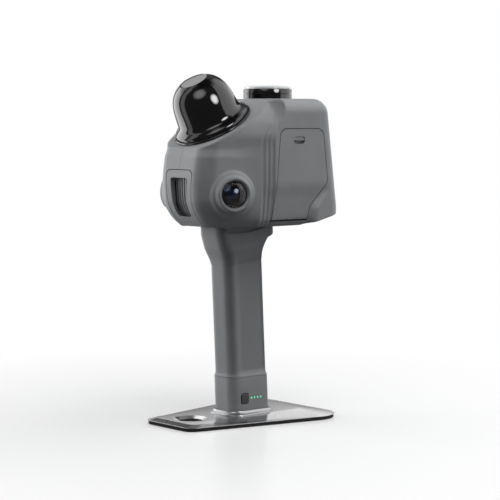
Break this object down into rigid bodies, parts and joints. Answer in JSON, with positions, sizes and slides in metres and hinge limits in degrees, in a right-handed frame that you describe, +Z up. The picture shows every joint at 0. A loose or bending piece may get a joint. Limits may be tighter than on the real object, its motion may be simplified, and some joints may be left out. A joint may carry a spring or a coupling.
{
  "type": "handheld three-d scanner",
  "caption": "Handheld three-d scanner: tilted black dome over a turning laser unit, side cameras, hinged side door, slanted grip, and a metal foot plate with a sighting hole.",
  "frame": {"origin": "on the ground, in the middle of the scanner's length and width", "axes": "+Z up; the dome and the sighting hole face -Y; the side door, power button and lights are on +X"},
  "size_m": [0.1148, 0.1534, 0.2941],
  "materials": {
    "shell_grey": "fine satin grey moulding",
    "grip_grey": "fine satin grey moulding",
    "plate_metal": "satin machined metal",
    "bright_metal": "polished",
    "pad_rubber": "matte rubber",
    "dark_plastic": "dark moulding",
    "black_window": "high gloss black",
    "lens_glass": "coated dark glass",
    "white_plastic": "smooth white",
    "light_green": "lit green pipe",
    "alloy": "plain alloy",
    "brass": "turned",
    "circuit_board": "solder mask",
    "cell_wrap": "shrink wrap",
    "mirror_face": "front surface mirror"
  },
  "bodies": {
    "scanner": {"base_pad": "pad_rubber", "base_plate": "plate_metal", "plate_screw": "alloy", "foot_collar": "bright_metal", "foot_block": "grip_grey", "foot_insert": "brass", "button_switch": "dark_plastic", "button_board": "circuit_board", "charge_light_1": "light_green", "charge_light_2": "light_green", "charge_light_3": "light_green", "charge_light_4": "light_green", "grip_sleeve": "grip_grey", "neck_screw_front": "alloy", "neck_screw_rear": "alloy", "battery_connector": "dark_plastic", "battery_board": "circuit_board", "battery_cell_1": "cell_wrap", "battery_cell_2": "cell_wrap", "battery_cell_3": "cell_wrap", "head_shell_left": "shell_grey", "head_shell_right": "shell_grey", "shell_screw_1": "alloy", "shell_screw_2": "alloy", "shell_screw_3": "alloy", "shell_screw_4": "alloy", "vent_insert": "shell_grey", "heat_sink": "alloy", "fan_frame": "dark_plastic", "core_frame": "alloy", "main_board": "circuit_board", "processor_cover": "alloy", "motion_sensor": "alloy", "laser_base": "dark_plastic", "laser_seal": "pad_rubber", "laser_trim_ring": "bright_metal", "laser_window": "black_window", "laser_motor": "alloy", "camera_window_left": "lens_glass", "camera_barrel_left": "dark_plastic", "camera_board_left": "circuit_board", "camera_window_right": "lens_glass", "camera_barrel_right": "dark_plastic", "camera_board_right": "circuit_board", "door_pin": "alloy", "storage_bay": "dark_plastic", "storage_drive": "alloy", "data_port": "alloy", "puck_base": "black_window", "puck_ring": "black_window", "puck_cover": "white_plastic", "antenna_patch": "alloy", "puck_stud": "alloy"},
    "door": {"side_door": "shell_grey"},
    "latch": {"door_latch": "shell_grey"},
    "button": {"power_button": "dark_plastic"},
    "spinner": {"laser_rotor": "dark_plastic", "laser_mirror": "mirror_face"},
    "fan": {"fan_rotor": "dark_plastic"}
  },
  "joints": [
    {"name": "side_door_hinge", "type": "hinge", "parent": "scanner", "child": "door", "pos_m": [0.04318, 0.0198, 0.1731], "axis": [0, 1, 0], "range_deg": [0, 80]},
    {"name": "door_latch_slide", "type": "slide", "parent": "door", "child": "latch", "axis": [0, 0, -1], "range_m": [0, 0.002], "stiffness_N_per_m": 300, "springref_m": -0.002},
    {"name": "power_button_press", "type": "slide", "parent": "scanner", "child": "button", "axis": [-1, 0, 0], "range_m": [0, 0.0008], "stiffness_N_per_m": 800, "springref_m": -0.001},
    {"name": "laser_spin", "type": "hinge", "parent": "scanner", "child": "spinner", "pos_m": [0, -0.0265, 0.25204], "axis": [0, -0.5, 0.866], "continuous": true},
    {"name": "fan_spin", "type": "hinge", "parent": "scanner", "child": "fan", "pos_m": [0, -0.0384, 0.1925], "axis": [0, 1, 0], "continuous": true}
  ]
}
